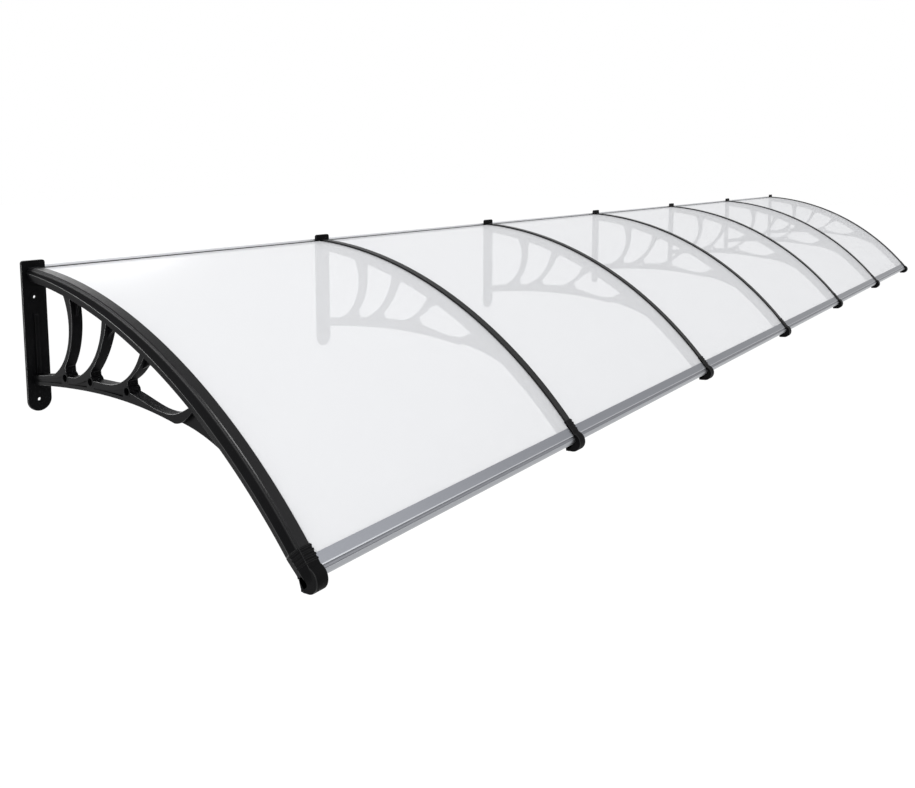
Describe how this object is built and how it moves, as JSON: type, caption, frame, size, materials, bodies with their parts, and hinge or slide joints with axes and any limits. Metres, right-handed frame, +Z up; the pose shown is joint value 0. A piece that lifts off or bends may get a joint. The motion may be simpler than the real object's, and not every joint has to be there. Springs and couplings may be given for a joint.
{
  "type": "door awning",
  "caption": "Modular wall-mounted awning with curved milky plastic sheets on arched openwork brackets, with cover strips and a rounded front rail.",
  "frame": {"origin": "middle of the wall face of the middle bracket's plate", "axes": "+X along the awning, +Y into the wall, +Z up; the sheets reach out towards -Y"},
  "size_m": [6.06, 1.0269, 0.5631],
  "materials": {
    "black_plastic": "satin moulded",
    "black_cover": "fine grained",
    "milky_sheet": "smooth, milky and translucent",
    "aluminium": "anodised satin",
    "black_rubber": "matte"
  },
  "bodies": {
    "root": {"bracket_1": "black_plastic", "bracket_2": "black_plastic", "bracket_3": "black_plastic", "bracket_4": "black_plastic", "bracket_5": "black_plastic", "bracket_6": "black_plastic", "bracket_7": "black_plastic", "cover_strip_1": "black_cover", "cover_strip_2": "black_cover", "cover_strip_3": "black_cover", "cover_strip_4": "black_cover", "cover_strip_5": "black_cover", "cover_strip_6": "black_cover", "cover_strip_7": "black_cover", "front_cap_1": "black_plastic", "front_cap_2": "black_plastic", "front_cap_3": "black_plastic", "front_cap_4": "black_plastic", "front_cap_5": "black_plastic", "front_cap_6": "black_plastic", "front_cap_7": "black_plastic", "sheet_1": "milky_sheet", "sheet_2": "milky_sheet", "sheet_3": "milky_sheet", "sheet_4": "milky_sheet", "sheet_5": "milky_sheet", "sheet_6": "milky_sheet", "front_rail_1": "aluminium", "front_rail_2": "aluminium", "front_rail_3": "aluminium", "front_rail_4": "aluminium", "front_rail_5": "aluminium", "front_rail_6": "aluminium", "back_rail_1": "aluminium", "back_rail_2": "aluminium", "back_rail_3": "aluminium", "back_rail_4": "aluminium", "back_rail_5": "aluminium", "back_rail_6": "aluminium", "back_seal_1": "black_rubber", "back_seal_2": "black_rubber", "back_seal_3": "black_rubber", "back_seal_4": "black_rubber", "back_seal_5": "black_rubber", "back_seal_6": "black_rubber"}
  },
  "joints": []
}
